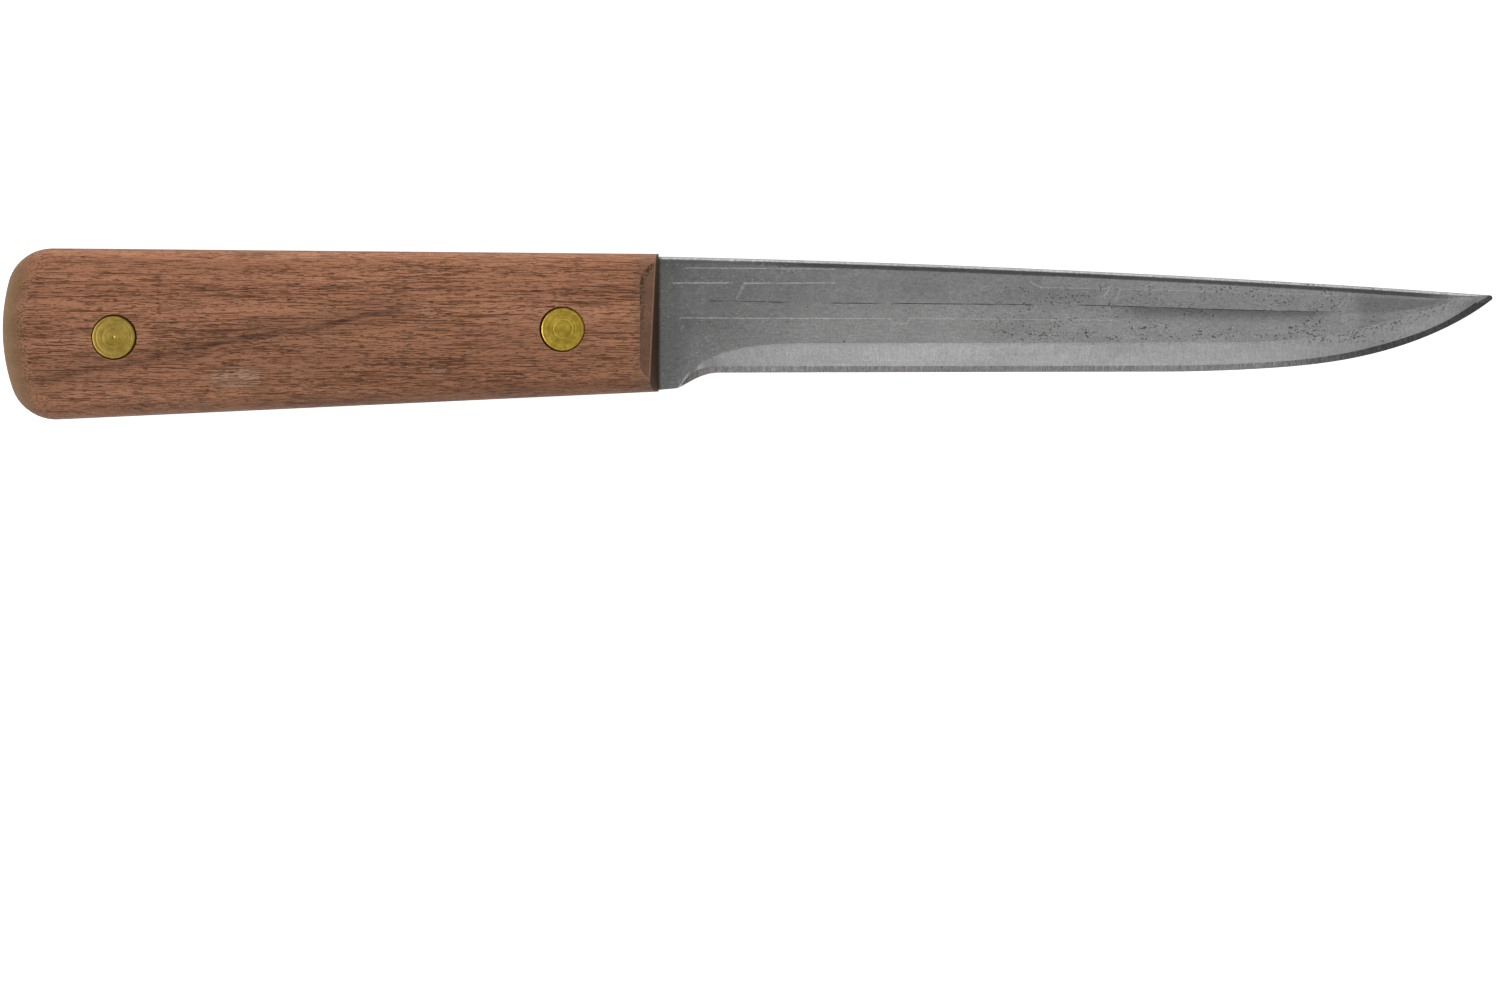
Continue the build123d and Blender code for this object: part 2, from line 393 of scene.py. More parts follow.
def mark_grinds(mesh):
    """Smooth shading, with crisp lines where two grinds meet and at every corner of the tang."""
    values = np.zeros(len(mesh.vertices), np.float32)
    mesh.attributes["band"].data.foreach_get("value", values)
    bm = bmesh.new()
    bm.from_mesh(mesh)
    bm.verts.ensure_lookup_table()
    for f in bm.faces:
        f.smooth = True
    for e in bm.edges:
        a, b = (values[v.index] for v in e.verts)
        on_line = abs(a - b) < 1e-3 and any(abs(a - line) < 1e-3 for line in (1, 2))
        angle = math.degrees(e.calc_face_angle(0.0))
        in_handle = max(v.co.x for v in e.verts) < (FRONT_X + 0.05) * MM
        e.smooth = not (on_line or angle > BLADE_CREASE or (in_handle and angle > TANG_CREASE))
    bm.to_mesh(mesh)
    bm.free()


blade = make_blade()
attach(blade, "root")
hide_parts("blade")

# ---------------------------------------------------------------- rivets

HEAD_RADIUS, HEAD_TOP, HEAD_SEAT = 4.0, 8.4, 7.0  # the last two are above the blade's middle
CROWN, CROWN_RADIUS = 0.035, 3.7  # how far the head falls away from its middle to that radius
MARK_SPACING, MARK_DEPTH = 0.06, 0.0022  # of the fine tool marks
RING_WIDTH, DIMPLE_WIDTH = 0.08, 0.22
HEAD_RIM = [(3.78, 0.055), (3.88, 0.11), (3.95, 0.19), (3.99, 0.3), (HEAD_RADIUS, 0.45)]  # radius, depth
PIN = [(1.75, HEAD_SEAT), (1.75, -4.3), (1.6, -4.5), (0.0, -4.5)]  # radius and height, from the head down
SOCKET = [(2.4, -HEAD_SEAT), (2.4, 4.0), (1.76, 4.0), (1.76, -6.5), (0.0, -6.5)]  # up outside, down its bore
RIVETS = [  # name, hole, drift off the hole's middle, seed, deeper rings, depth of the centre dimple
    ("rear_rivet", REAR_HOLE, -0.12, 3, [(0.62, 0.012), (1.25, 0.010), (2.05, 0.014), (3.2, 0.02)], 0.09),
    ("front_rivet", FRONT_HOLE, 0.12, 4, [(0.8, 0.006), (1.75, 0.03), (2.25, 0.014), (3.35, 0.012)], 0.0),
]
TURNED_CREASE = math.radians(40)


def lathe(name, center, profile, segments=96):
    """A closed turned piece from (radius, height) points that start and end on its axis."""
    turn = np.linspace(0, 2 * math.pi, segments, endpoint=False)
    rings = [np.column_stack([arc(center, r, turn), np.full(segments, h)]) for r, h in profile[1:-1]]
    vertices = [[*center, profile[0][1]], *np.concatenate(rings), [*center, profile[-1][1]]]
    faces = []
    for i in range(len(rings) - 1):
        for j in range(segments):
            k = (j + 1) % segments
            a, b = 1 + i * segments, 1 + (i + 1) * segments
            faces.append((a + j, b + j, b + k, a + k))
    last, tip = 1 + (len(rings) - 1) * segments, len(vertices) - 1
    for j in range(segments):
        k = (j + 1) % segments
        faces.append((0, 1 + j, 1 + k))
        faces.append((last + k, last + j, tip))
    obj = new_object(name, to_world(vertices), faces)
    bm = bmesh.new()
    bm.from_mesh(obj.data)
    bmesh.ops.recalc_face_normals(bm, faces=bm.faces[:])
    for f in bm.faces:
        f.smooth = True
    for e in bm.edges:
        e.smooth = e.calc_face_angle(0.0) < TURNED_CREASE
    bm.to_mesh(obj.data)
    bm.free()
    return obj


def head_profile(seed, rings, dimple):
    """A rivet head's turned face from its middle to its rim: fine tool marks, deeper rings, a round edge."""
    rng = np.random.default_rng(seed)
    radii = np.arange(0.05, 3.72, MARK_SPACING)
    heights = HEAD_TOP - CROWN * (radii / CROWN_RADIUS) ** 2 + rng.normal(0, MARK_DEPTH, len(radii))
    for ring, depth in rings:
        heights -= depth * np.exp(-(((radii - ring) / RING_WIDTH) ** 2))
    heights -= dimple * np.exp(-((radii / DIMPLE_WIDTH) ** 2))
    rim = [(radius, HEAD_TOP - depth) for radius, depth in HEAD_RIM]
    return [(0.0, HEAD_TOP - dimple), *zip(radii, heights), *rim, (HEAD_RADIUS, HEAD_SEAT)]


rivets = []
for name, hole, drift, seed, rings, dimple in RIVETS:
    center = (hole[0] + drift, hole[1])
    pin = lathe(name + "_pin_turned", center, head_profile(seed, rings, dimple) + PIN)
    left_head = [(radius, -height) for radius, height in head_profile(seed + 10, rings[1:], dimple / 2)]
    socket = lathe(name + "_socket_turned", center, left_head + SOCKET)
    for piece, node in ((pin, name + "_pin"), (socket, name + "_socket")):
        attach(piece, "root")
        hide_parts(node)
        rivets.append((piece, name, center))

# ---------------------------------------------------------------- material building


class Shader:
    """A material's node tree, with short ways to add the nodes used here. Positions are in millimetres."""

    def __init__(self, name):
        self.material = bpy.data.materials.new(name)
        self.material.use_nodes = True
        self.tree = self.material.node_tree
        self.surface = self.tree.nodes["Principled BSDF"]
        coords = self.add("ShaderNodeTexCoord")
        self.position = self.vector("SCALE", coords.outputs["Object"], scale=1000)

    def add(self, kind, **settings):
        node = self.tree.nodes.new(kind)
        for key, value in settings.items():
            setattr(node, key, value)
        return node

    def put(self, socket, value):
        if isinstance(value, bpy.types.NodeSocket):
            self.tree.links.new(value, socket)
        elif value is not None:
            socket.default_value = value

    def math(self, operation, a, b=None, c=None):
        node = self.add("ShaderNodeMath", operation=operation)
        for socket, value in zip(node.inputs, (a, b, c)):
            self.put(socket, value)
        return node.outputs[0]

    def times(self, first, *others):
        for value in others:
            first = self.math("MULTIPLY", first, value)
        return first

    def vector(self, operation, a, b=None, scale=None):
        node = self.add("ShaderNodeVectorMath", operation=operation)
        self.put(node.inputs[0], a)
        self.put(node.inputs[1], b)
        if scale is not None:
            self.put(node.inputs["Scale"], scale)
        return node.outputs[0]

    def split(self, vector):
        node = self.add("ShaderNodeSeparateXYZ")
        self.put(node.inputs[0], vector)
        return node.outputs

    def join(self, x, y, z):
        node = self.add("ShaderNodeCombineXYZ")
        for socket, value in zip(node.inputs, (x, y, z)):
            self.put(socket, value)
        return node.outputs[0]

    def noise(self, vector, detail=2.0, roughness=0.5):
        node = self.add("ShaderNodeTexNoise")
        self.put(node.inputs["Vector"], vector)
        node.inputs["Scale"].default_value = 1.0
        node.inputs["Detail"].default_value = detail
        node.inputs["Roughness"].default_value = roughness
        return node.outputs["Fac"]

    def cells(self, vector, randomness=1.0):
        """Distance to the nearest of some points scattered about 1 apart, and that point's random colour."""
        node = self.add("ShaderNodeTexVoronoi", feature="F1")
        self.put(node.inputs["Vector"], vector)
        node.inputs["Scale"].default_value = 1.0
        node.inputs["Randomness"].default_value = randomness
        return node.outputs["Distance"], node.outputs["Color"]

    def stretch(self, vector, x, y, z, shift=(0, 0, 0)):
        """The position scaled along each axis: a pattern made on it is 1/x, 1/y and 1/z millimetres large."""
        node = self.add("ShaderNodeVectorMath", operation="MULTIPLY_ADD")
        self.put(node.inputs[0], vector)
        node.inputs[1].default_value = (x, y, z)
        node.inputs[2].default_value = shift
        return node.outputs[0]

    def ramp(self, value, low, high, out_low=0.0, out_high=1.0):
        """out_low where the value is at most low, out_high from high on, and a smooth change between."""
        node = self.add("ShaderNodeMapRange", interpolation_type="SMOOTHSTEP")
        for socket, v in zip(node.inputs, (value, low, high, out_low, out_high)):
            self.put(socket, v)
        return node.outputs[0]

    def between(self, value, low, high, soft):
        """1 where the value lies from low to high, falling to 0 over the soft distance outside."""
        up = self.ramp(value, low - soft, low)
        down = self.ramp(value, high, high + soft, 1.0, 0.0)
        return self.times(up, down)

    def colors(self, value, stops):
        node = self.add("ShaderNodeValToRGB")
        self.put(node.inputs[0], value)
        elements = node.color_ramp.elements
        while len(elements) < len(stops):
            elements.new(0.5)
        for element, (place, color) in zip(elements, stops):
            element.position = place
            element.color = (*color, 1.0)
        return node.outputs[0]

    def mix(self, factor, a, b, blend="MIX"):
        node = self.add("ShaderNodeMix", data_type="RGBA", blend_type=blend)
        self.put(node.inputs["Factor"], factor)
        for socket, value in ((node.inputs[6], a), (node.inputs[7], b)):
            self.put(socket, (*value, 1.0) if isinstance(value, tuple) else value)
        return node.outputs[2]

    def gray(self, value):
        node = self.add("ShaderNodeCombineColor")
        for socket in node.inputs:
            self.put(socket, value)
        return node.outputs[0]

    def shade(self, color, value):
        """The colour made lighter or darker by a plain value."""
        return self.mix(1.0, color, self.gray(value), "MULTIPLY")

    def bump(self, height, distance):
        """Height 1 stands that many millimetres proud of height 0."""
        node = self.add("ShaderNodeBump")
        node.inputs["Strength"].default_value = 1.0
        node.inputs["Distance"].default_value = distance * MM
        self.put(node.inputs["Height"], height)
        return node.outputs[0]

    def finish(self, color, roughness, normal, metallic, specular=0.5):
        s = self.surface.inputs
        self.put(s["Base Color"], color)
        self.put(s["Roughness"], roughness)
        self.put(s["Normal"], normal)
        s["Metallic"].default_value = metallic
        s["Specular IOR Level"].default_value = specular
        return self.material


def steel_material():
    g = Shader("satin_steel")
    band = g.add("ShaderNodeAttribute", attribute_name="band").outputs["Fac"]
    place = g.vector("SUBTRACT", g.position, (FRONT_X, 0.0, MIDDLE_Z))
    u, v, height_off_middle = g.split(place)

    def scratch(start, end, width, soft=0.05, soft_ends=0.4):
        """1 along a straight mark between two (u, v) points, falling to 0 beside it."""
        length = math.dist(start, end)
        way = ((end[0] - start[0]) / length, (end[1] - start[1]) / length)
        du, dv = g.math("SUBTRACT", u, start[0]), g.math("SUBTRACT", v, start[1])
        forward = g.math("ADD", g.times(du, way[0]), g.times(dv, way[1]))
        aside = g.math("SUBTRACT", g.times(dv, way[0]), g.times(du, way[1]))
        across = g.between(aside, -width / 2, width / 2, soft)
        return g.times(across, g.between(forward, 0.0, length, soft_ends))

    # Each ground face has its own tone, partly its grind finish and partly painted reflection, and the
    # ricasso is a little greener
    wander = g.math("MULTIPLY_ADD", g.noise(g.stretch(place, 0.3, 0.3, 0.5), detail=3), 0.12, -0.06)
    wander = g.times(wander, g.ramp(u, 8.0, 16.0))
    tone = g.colors(
        g.math("DIVIDE", g.math("ADD", band, wander), 5.0),
        [
            (0.00, (0.565, 0.565, 0.565)),
            (0.37, (0.565, 0.565, 0.565)),
            (0.405, (0.49, 0.49, 0.485)),
            (0.59, (0.48, 0.48, 0.475)),
            (0.625, (0.45, 0.45, 0.45)),
            (0.77, (0.45, 0.45, 0.45)),
            (1.00, (0.45, 0.45, 0.45)),
        ],
    )
    bevel = g.ramp(band, 1.75, 2.15, 1.0, 0.0)
    flat = g.ramp(band, 1.98, 2.02)
    toward_tip = g.ramp(u, 88.0, 132.0)
    # Painted reflection: the bevel darker towards the tip, and both flats lighter further from the handle
    tone = g.mix(g.times(toward_tip, bevel, 0.42), tone, (0.30, 0.30, 0.30))
    upper = g.ramp(band, 2.9, 3.1)
    tone = g.mix(g.times(g.ramp(u, 60.0, 100.0), upper, 0.5), tone, (0.56, 0.56, 0.56))
    lower = g.times(flat, g.ramp(band, 2.8, 3.0, 1.0, 0.0))
    tone = g.mix(g.times(g.ramp(u, 60.0, 90.0), lower, 0.5), tone, (0.60, 0.60, 0.60))
    # Painted shadow of the handle: the blade darker near the handle, fading out by 44 mm forward
    tone = g.shade(tone, g.ramp(u, 2.0, 44.0, 0.66, 1.0))
    tone = g.mix(g.times(g.ramp(u, 3.4, 8.0, 0.95, 0.0), bevel), tone, (0.20, 0.20, 0.20))
    ricasso = g.times(g.ramp(u, 1.9, 2.7, 1.0, 0.0), g.ramp(u, 0.0, 1.1, 0.75, 1.0))
    tone = g.mix(g.times(ricasso, 0.75), tone, (0.300, 0.318, 0.285))
    tone = g.mix(g.ramp(u, 0.05, 0.5, 0.75, 0.0), tone, (0.08, 0.08, 0.07))
    tang = g.ramp(u, -0.02, 0.02, 1.0, 0.0)

    # The narrow edge bevel, and the rounded spine with a painted dark reflection on its shoulder and painted
    # shade along its top
    edge = g.ramp(band, 0.97, 1.0, 1.0, 0.0)
    ground = g.noise(g.stretch(place, 6.0, 0.6, 2.0), detail=3, roughness=0.75)
    edge_tone = g.mix(g.ramp(u, 100.0, 136.0), (0.37, 0.36, 0.355), (0.125, 0.125, 0.125))
    edge_tone = g.mix(g.ramp(u, 4.0, 14.0, 0.6, 0.0), edge_tone, (0.25, 0.22, 0.20))
    edge_tone = g.shade(edge_tone, g.math("MULTIPLY_ADD", ground, 2.4, -0.2))
    tone = g.mix(edge, tone, edge_tone)
    aged = g.noise(g.stretch(place, 0.25, 0.25, 1.2, (3.0, 5.0, 0)), detail=5, roughness=0.7)
    tone = g.mix(tang, tone, g.mix(aged, (0.10, 0.085, 0.07), (0.46, 0.46, 0.45)))
    sway = g.math("MULTIPLY_ADD", g.noise(g.stretch(place, 0.12, 0.0, 0.0), detail=4), 0.5, -0.25)
    early = g.ramp(u, 10.0, 36.0, 1.0, 0.0)
    wavy = g.math("ADD", band, g.times(sway, early))
    # Painted reflection: a dark band on the right face's spine shoulder, fading out towards the tip
    shoulder_painted_dark = g.times(
        g.between(wavy, 4.04, 4.58, 0.06),
        g.ramp(u, 9.0, 30.0),
        g.ramp(u, 138.0, 148.0, 1.0, 0.0),
        g.ramp(height_off_middle, -0.2, 0.2),
    )
    tone = g.mix(g.times(shoulder_painted_dark, 0.85), tone, (0.15, 0.15, 0.15))
    rim = g.times(g.between(wavy, 4.64, 6.0, 0.10), g.ramp(u, 0.3, 1.0))
    rim_tone = g.gray(g.math("MULTIPLY_ADD", g.noise(g.stretch(place, 1.8, 0.5, 0.5), detail=3), 0.5, 0.27))
    tone = g.mix(rim, tone, rim_tone)
    # Painted shade along the very top of the spine's rounding
    tone = g.mix(g.ramp(band, 4.80, 4.87, 0.0, 0.85), tone, (0.25, 0.25, 0.25))
    tone = g.mix(g.ramp(u, 151.1, 151.9, 0.0, 0.50), tone, (0.14, 0.14, 0.14))
    edge_at_tip = scratch((149.9, 5.40), (152.3, 6.72), 0.72, 0.12, 0.2)
    tone = g.mix(g.times(edge_at_tip, 0.85), tone, (0.11, 0.11, 0.11))

    # A painted dark reflection just below the ridge, a darker patch before the tip, and soft cloudiness
    # Painted reflection: darker just below the ridge, fading downwards
    under_ridge = g.times(
        g.ramp(band, 2.50, 2.96),
        g.ramp(band, 2.985, 3.01, 1.0, 0.0),
        g.between(u, 90.0, 117.0, 10.0),
    )
    below_spine = g.math("ADD", v, g.times(g.math("SUBTRACT", u, 127.3), 0.037))
    before_tip = g.times(
        g.ramp(u, 126.0, 129.5),
        g.ramp(below_spine, 6.4, 7.0, 1.0, 0.0),
        g.ramp(band, 1.98, 2.16),
    )
    ridge_reflection_and_tip_patch = g.math("ADD", g.times(under_ridge, 0.62), g.times(before_tip, 0.36))
    cloud = g.noise(g.stretch(place, 0.06, 0.16, 0.5), detail=5, roughness=0.65)
    tone = g.mix(g.times(ridge_reflection_and_tip_patch, g.math("ADD", cloud, 0.5)), tone, (0.12, 0.12, 0.12))
    streak = g.noise(g.stretch(place, 0.08, 1.8, 0.5), detail=4, roughness=0.7)
    tone = g.shade(tone, g.math("MULTIPLY_ADD", cloud, 0.6, 0.7))
    tone = g.shade(tone, g.math("MULTIPLY_ADD", streak, 0.24, 0.88))

    # Fine light scratches with a few breaks, and a broken painted dark line along the ridge's crease
    light_marks = [  # from, to, width, strength
        ((5.0, 12.0), (32.0, 11.8), 0.14, 0.5),
        ((2.8, 9.25), (13.2, 9.25), 0.16, 0.7),
        ((15.6, 9.2), (32.0, 9.25), 0.16, 0.6),
        ((15.8, 9.2), (14.3, 6.5), 0.45, 0.25),
        ((4.0, 2.85), (42.2, 2.75), 0.14, 0.5),
        ((42.2, 2.75), (43.0, 1.85), 0.30, 0.25),
        ((43.0, 1.85), (45.4, 1.80), 0.30, 0.25),
        ((45.4, 1.80), (46.0, 2.75), 0.30, 0.25),
        ((46.0, 2.75), (84.0, 2.45), 0.12, 0.35),
        ((68.0, 9.3), (70.0, 8.4), 0.30, 0.3),
        ((70.0, 8.4), (82.0, 8.2), 0.16, 0.35),
        ((82.2, 8.1), (81.4, 6.9), 0.25, 0.6),
        ((83.4, 5.8), (84.4, 8.1), 0.40, 0.3),
        ((84.4, 8.1), (106.0, 7.6), 0.12, 0.3),
        ((112.0, 7.4), (124.0, 6.9), 0.12, 0.3),
    ]
    rough_marks = g.ramp(g.noise(g.stretch(place, 0.5, 0.02, 0.0), detail=3), 0.30, 0.55, 0.45, 1.0)
    past_line = g.math("SUBTRACT", v, g.math("MULTIPLY_ADD", u, -0.0275, 10.4))
    for start, end, width, strength in light_marks:
        mark = g.times(scratch(start, end, width), rough_marks, strength)
        tone = g.mix(mark, tone, (0.92, 0.92, 0.92))
    above_line = g.times(
        g.between(u, 71.0, 126.0, 1.5),
        g.between(past_line, 0.0, 3.0, 0.08),
        g.ramp(band, 4.10, 4.12, 1.0, 0.0),
    )
    tone = g.mix(g.times(above_line, 0.16), tone, (0.75, 0.75, 0.75))
    pale_patch = scratch((124.6, 4.2), (126.6, 7.0), 1.3, 0.35, 0.4)
    pale_patch = g.math("MAXIMUM", pale_patch, g.times(scratch((80.4, 5.0), (83.0, 8.0), 1.1, 0.3), 0.6))
    tone = g.mix(g.times(pale_patch, 0.35), tone, (0.62, 0.62, 0.62))
    broken = g.ramp(g.noise(g.stretch(place, 0.09, 0.0, 0.0, (4.0, 0, 0)), detail=3), 0.42, 0.52)
    # Painted shade: a dark hairline along the ridge's crease, from its start near the heel
    ridge_dark_line = g.times(g.between(band, 2.990, 3.004, 0.010), g.between(u, 24.0, 119.0, 5.0))
    ridge_dark_line = g.math("MAXIMUM", ridge_dark_line, g.times(scratch((9.5, 5.95), (24.0, 5.75), 0.1), 0.8))
    ridge_dark_line = g.times(ridge_dark_line, broken)
    tone = g.mix(g.times(ridge_dark_line, 0.85), tone, (0.04, 0.04, 0.04))
    flick_near, flick_random = g.cells(g.stretch(place, 1.1, 2.4, 0.5, (3.0, 0, 0)))
    flicks = g.times(g.ramp(flick_near, 0.15, 0.24, 1.0, 0.0), g.ramp(g.split(flick_random)[0], 0.60, 0.65))
    flicks = g.times(flicks, g.times(flat, g.ramp(u, 22.0, 34.0, 0.5, 0.0)))
    tone = g.mix(flicks, tone, (0.85, 0.85, 0.85))

    # Rust pits: wormy patches beyond the middle and single pits on the flats. Near the tip, chatter marks lie
    # along the top of the bevel
    worst = g.times(g.between(u, 66.0, 128.0, 16.0), g.between(v, -0.6, 8.2, 2.2))
    patches = g.noise(g.stretch(place, 0.22, 0.34, 0.5, (9.0, 2.0, 0)), detail=3, roughness=0.6)
    patches = g.ramp(patches, 0.40, 0.58)
    worms = g.ramp(g.noise(g.stretch(place, 1.9, 2.4, 2.0), detail=2.5, roughness=0.6), 0.570, 0.610)
    corroded = g.times(worst, patches, worms)
    near, random = g.cells(g.stretch(place, 0.34, 0.34, 0.3, (0.4, 0.1, 0.0)))
    pit_size = g.math("MULTIPLY_ADD", g.split(random)[0], 0.09, -0.02)
    pits = g.times(g.ramp(g.math("SUBTRACT", near, pit_size), 0.0, 0.03, 1.0, 0.0), flat)
    damage = g.math("MAXIMUM", corroded, pits)
    tone = g.mix(g.times(damage, 0.84), tone, (0.06, 0.06, 0.06))
    chatter_way = g.join(
        g.math("ADD", g.times(u, 0.9), g.times(v, -0.45)),
        g.math("ADD", g.times(u, -0.5), g.times(v, 1.3)),
        0.0,
    )
    chatter_near, _ = g.cells(g.vector("SCALE", chatter_way, scale=1.45), 0.45)
    chatter = g.times(
        g.ramp(chatter_near, 0.20, 0.38, 1.0, 0.0),
        g.between(band, 1.60, 2.06, 0.12),
        g.between(u, 123.0, 145.0, 4.0),
    )
    tone = g.mix(g.times(chatter, 0.62), tone, (0.12, 0.12, 0.12))

    # Fine grain: across the bevels, along the flats, and an even mottle over everything
    mottle = g.noise(g.stretch(place, 2.6, 2.6, 2.6), detail=4, roughness=0.85)
    across = g.noise(g.stretch(place, 5.0, 0.4, 2.0), detail=3, roughness=0.7)
    along = g.noise(g.stretch(place, 0.7, 5.0, 2.0), detail=3, roughness=0.7)
    grain = g.math("MULTIPLY_ADD", bevel, g.math("SUBTRACT", across, along), along)
    grain = g.math("ADD", g.times(grain, 0.35), g.times(mottle, 0.65))
    color = g.shade(tone, g.times(grain, 2.0))
    roughness = g.math("MULTIPLY_ADD", grain, 0.25, 0.2)
    roughness = g.math("ADD", roughness, g.times(damage, 0.3))
    proud = g.math("SUBTRACT", g.times(grain, 0.15), damage)
    proud = g.math("SUBTRACT", proud, g.times(chatter, 0.3))
    return g.finish(color, roughness, g.bump(proud, 0.02), 1.0)


def wood_material(name, shift, figured):
    g = Shader(name)
    toward_front, toward_spine, _ = g.split(g.add("ShaderNodeTexCoord").outputs["Normal"])
    from_front = g.vector("SUBTRACT", g.position, (FRONT_X, 0.0, MIDDLE_Z))
    u, v, _ = g.split(from_front)
    place = g.vector("ADD", g.position, shift)
    x, y, z = g.split(place)
    drift = g.math("MULTIPLY_ADD", g.noise(g.stretch(place, 0.016, 0.05, 0.05), detail=2), 3.6, -1.8)
    flow = g.join(x, g.math("ADD", y, drift), z)

    # Growth figure: faint broad bands, fibres along the grain and an even fine fleck
    figure = g.noise(g.stretch(flow, 0.012, 0.30, 0.2), detail=4, roughness=0.6)
    base = g.colors(
        figure,
        [
            (0.28, (0.210, 0.092, 0.049)),
            (0.45, (0.250, 0.112, 0.061)),
            (0.58, (0.285, 0.130, 0.071)),
            (0.74, (0.330, 0.156, 0.089)),
        ],
    )
    fibers = g.noise(g.stretch(flow, 0.06, 4.0, 4.0), detail=3, roughness=0.85)
    fine = g.noise(g.stretch(flow, 3.4, 7.0, 7.0), detail=3, roughness=0.9)
    color = g.shade(base, g.math("MULTIPLY_ADD", fibers, 0.8, 0.62))
    color = g.shade(color, g.math("MULTIPLY_ADD", fine, 1.6, 0.26))
    if figured:
        # Painted light: the right scale lighter towards the spine side
        color = g.shade(color, g.ramp(v, -3.0, 11.0, 1.04, 1.34))
        bend = g.math("MULTIPLY_ADD", g.noise(g.stretch(from_front, 0.06, 0.06, 0.06), detail=3), 2.6, -1.3)
        off = g.math("ADD", g.math("SUBTRACT", v, g.math("MULTIPLY_ADD", u, 0.193, 13.2)), bend)
        ends = g.between(u, -108.0, -50.0, 9.0)
        patchy = g.noise(g.stretch(from_front, 0.10, 0.3, 0.3, (2.0, 0, 0)), detail=3)
        patchy = g.ramp(patchy, 0.35, 0.65, 0.30, 1.0)
        core = g.times(g.between(off, -0.15, 0.25, 0.5), 0.50, patchy)
        haze = g.times(g.between(off, -0.4, 1.4, 3.0), 0.28)
        band = g.times(g.math("ADD", core, haze), ends)
        color = g.mix(band, color, (0.085, 0.040, 0.025))
        worn = g.times(
            g.between(u, -79.5, -74.0, 3.0),
            g.between(v, -9.0, -7.2, 1.5),
            g.ramp(fibers, 0.25, 0.60, 0.7, 1.0),
        )
        color = g.mix(g.times(worn, 0.36), color, (0.44, 0.31, 0.235))
        upper_specks = g.times(g.between(u, -43.0, -41.6, 0.8), g.between(v, 1.6, 4.8, 0.8))
        lower_specks = g.times(g.between(u, -41.2, -38.8, 0.8), g.between(v, -7.4, -6.2, 0.8))
        specks = g.times(g.math("MAXIMUM", upper_specks, lower_specks), g.ramp(fine, 0.54, 0.62))
        color = g.mix(g.times(specks, 0.65), color, (0.36, 0.34, 0.34))

    # Open pores: long thin cavities along the grain
    crowd = g.noise(g.stretch(flow, 0.05, 0.45, 0.45), detail=3)
    limit = g.math("MULTIPLY_ADD", crowd, -0.20, 0.800)
    pores = None
    for length, width, shade in ((0.09, 7.5, 0.8), (0.18, 8.5, 0.9), (0.38, 10.0, 1.0), (0.85, 11.5, 0.9)):
        cut = g.noise(g.stretch(flow, length, width, width, (40 * length, 9 * length, 0)), detail=0.0)
        cut = g.times(g.ramp(g.math("SUBTRACT", cut, limit), 0.0, 0.03), shade)
        pores = cut if pores is None else g.math("MAXIMUM", pores, cut)
    long_grain = g.times(g.ramp(toward_front, 0.25, 0.8, 1.0, 0.0), g.ramp(toward_front, -0.8, -0.3))
    pores = g.times(pores, long_grain)
    color = g.mix(g.times(pores, 0.86), color, (0.044, 0.015, 0.006))

    # End grain soaks up dirt: strong on the front's end face, some on the bevel and round the butt. Painted
    # shade deepens the end face and round the butt, and painted light and shade lie along the top and bottom
    # edges
    dirt = g.noise(g.stretch(from_front, 0.9, 0.9, 0.9), detail=4, roughness=0.7)
    beside_bevel = g.math("ADD", g.math("SUBTRACT", u, g.times(dirt, 2.6)), 4.8)
    beside_bevel = g.times(g.ramp(beside_bevel, -1.6, 0.4), 0.30)
    color = g.mix(beside_bevel, color, (0.135, 0.100, 0.075))
    grime = g.times(g.ramp(toward_front, 0.2, 0.44), g.times(dirt, 0.75))
    color = g.mix(grime, color, (0.150, 0.100, 0.070))
    from_edge = g.math("ADD", u, g.math("MULTIPLY_ADD", v, -0.047, 1.16))
    from_start = g.math("SUBTRACT", u, g.ramp(v, 9.0, 13.6, -3.4, -0.9))
    torn = g.times(
        g.between(from_start, 0.0, 0.7, 0.5),
        g.ramp(v, -4.0, 10.0, 0.25, 1.0),
        g.ramp(toward_front, 0.05, 0.40),
        g.ramp(g.noise(g.stretch(from_front, 2.2, 1.6, 1.6), detail=4), 0.44, 0.60),
    )
    color = g.mix(g.times(torn, 0.8), color, (0.045, 0.026, 0.010))
    # The steep end face painted almost black: partly the end grain's own dark colour, partly painted shade
    # where it stands against the blade
    color = g.mix(g.ramp(toward_front, 0.55, 0.9, 0.0, 0.84), color, (0.026, 0.011, 0.001))
    rubbed = g.times(g.between(from_edge, -0.12, 0.04, 0.10), g.ramp(toward_front, 0.3, 0.5))
    color = g.mix(g.times(rubbed, 0.55), color, (0.42, 0.26, 0.16))
    # Darker towards the butt
    color = g.shade(color, g.ramp(u, -119.0, -106.0, 0.80, 1.0))
    # Painted light and shade by facing: lighter on faces turned towards the spine side, darker on the upright
    # top wall and on faces turned towards the edge side
    color = g.shade(color, g.ramp(toward_spine, 0.30, 0.85, 1.0, 1.50))
    color = g.shade(color, g.ramp(toward_spine, 0.90, 0.98, 1.0, 0.74))
    color = g.shade(color, g.ramp(toward_spine, -0.75, -0.30, 0.72, 1.0))
    # Faces turned back towards the butt get an olive tone: partly its end-grain colour, partly painted shade
    rim = g.times(g.ramp(toward_front, -0.70, -0.05, 0.75, 0.0), g.math("ADD", dirt, 0.4))
    color = g.mix(rim, color, (0.118, 0.080, 0.036))

    height = g.math("SUBTRACT", g.math("ADD", g.times(fibers, 0.3), g.times(fine, 0.2)), pores)
    roughness = g.math("MULTIPLY_ADD", fine, 0.2, 0.58)
    return g.finish(color, roughness, g.bump(height, 0.06), 0.0, 0.15)


